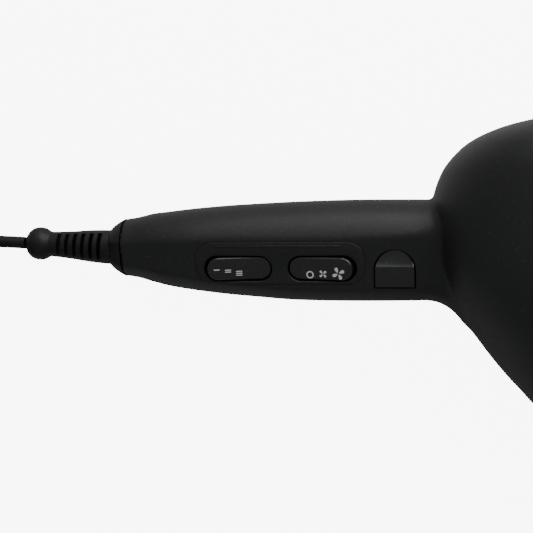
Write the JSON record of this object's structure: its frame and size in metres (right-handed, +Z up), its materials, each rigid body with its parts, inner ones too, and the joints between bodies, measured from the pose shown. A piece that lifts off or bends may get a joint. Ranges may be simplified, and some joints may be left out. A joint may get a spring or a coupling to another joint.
{
  "type": "hair dryer",
  "caption": "Handheld hair dryer lying on its side, with rocker switches, a cool shot button, a pull-off intake filter, a push-on concentrator nozzle, and a coiled cord with its plug.",
  "frame": {"origin": "on the table under the centre of the dryer's bounding box, its cord, coil and plug left out", "axes": "+X runs along the handle from its cord end towards the head, +Y runs along the barrel from its outlet towards its intake, and +Z is up from the table. The dryer lies on its side with its control face up, and its handle slopes 10 degrees down to the table."},
  "size_m": [0.3813, 0.2164, 0.0891],
  "materials": {
    "matte_shell": "fine matte texture",
    "gloss_control": "polished",
    "soft_pvc": "matte flexible PVC",
    "inner_plastic": "moulded, plain",
    "fan_plastic": "moulded, off-white",
    "steel": "plated",
    "magnet": "sintered ferrite",
    "copper": "bare copper",
    "carbon": "carbon block",
    "mica": "pressed mica sheet",
    "heating_wire": "resistance wire",
    "ceramic": "ceramic",
    "circuit_board": "laminate board",
    "filter_mesh": "fine woven mesh, modelled as a thin disc",
    "plug_pin": "nickel-plated brass",
    "brown_lead": "insulated lead",
    "blue_lead": "insulated lead"
  },
  "bodies": {
    "dryer": {"housing_upper": "matte_shell", "housing_lower": "matte_shell", "control_plate": "matte_shell", "handle_end_cap": "soft_pvc", "strain_relief": "soft_pvc", "cord_inner_end": "soft_pvc", "cord": "soft_pvc", "cord_coil": "soft_pvc", "cord_tail": "soft_pvc", "cord_tie": "soft_pvc", "plug_body": "soft_pvc", "heat_switch_body": "inner_plastic", "speed_switch_body": "inner_plastic", "cool_shot_switch": "inner_plastic", "clamp_base": "inner_plastic", "clamp_bridge": "inner_plastic", "fan_duct": "inner_plastic", "motor_end_cap": "inner_plastic", "outlet_bezel": "inner_plastic", "housing_screw_1": "steel", "housing_screw_2": "steel", "housing_screw_3": "steel", "housing_screw_4": "steel", "heat_rocker_pin": "steel", "speed_rocker_pin": "steel", "clamp_screw_1": "steel", "clamp_screw_2": "steel", "motor_can": "steel", "rear_bearing": "steel", "front_bearing": "steel", "thermal_cutout": "steel", "outlet_grille": "steel", "magnet_ring": "magnet", "brush_1": "carbon", "brush_2": "carbon", "heater_sleeve": "mica", "mica_board_a": "mica", "mica_board_b": "mica", "heating_coil_1": "heating_wire", "heating_coil_2": "heating_wire", "thermal_fuse": "ceramic", "rectifier_board": "circuit_board", "plug_pin_1": "plug_pin", "plug_pin_2": "plug_pin", "live_lead": "brown_lead", "heater_lead": "brown_lead", "motor_lead_1": "brown_lead", "neutral_lead": "blue_lead", "motor_lead_2": "blue_lead"},
    "concentrator": {"concentrator_nozzle": "matte_shell"},
    "fan_rotor": {"fan_impeller": "fan_plastic", "motor_shaft": "steel", "armature": "copper", "commutator": "copper"},
    "heat_rocker": {"heat_rocker": "gloss_control"},
    "speed_rocker": {"speed_rocker": "gloss_control"},
    "cool_shot_button": {"cool_shot_button": "gloss_control"},
    "rear_filter": {"rear_filter_cap": "matte_shell", "filter_screen": "filter_mesh"}
  },
  "joints": [
    {"name": "concentrator_spin", "type": "hinge", "parent": "dryer", "child": "concentrator", "pos_m": [0.09266, -0.06715, 0.04625], "axis": [0, 1, 0], "continuous": true},
    {"name": "fan_spin", "type": "hinge", "parent": "dryer", "child": "fan_rotor", "pos_m": [0.09266, 0.04285, 0.04625], "axis": [0, 1, 0], "continuous": true},
    {"name": "heat_rocker_tilt", "type": "hinge", "parent": "dryer", "child": "heat_rocker", "pos_m": [-0.0465, 0.03692, 0.02981], "axis": [-0.0479, 0.9613, 0.2714], "range_deg": [-12, 0]},
    {"name": "speed_rocker_tilt", "type": "hinge", "parent": "dryer", "child": "speed_rocker", "pos_m": [-0.01351, 0.03692, 0.03563], "axis": [-0.0479, 0.9613, 0.2714], "range_deg": [0, 12]},
    {"name": "cool_shot_press", "type": "slide", "parent": "dryer", "child": "cool_shot_button", "axis": [0.1669, 0.2756, -0.9467], "range_m": [0, 0.0022], "stiffness_N_per_m": 600, "springref_m": -0.002},
    {"name": "filter_cap_pull", "type": "slide", "parent": "dryer", "child": "rear_filter", "axis": [0, 1, 0], "range_m": [0, 0.012]}
  ]
}
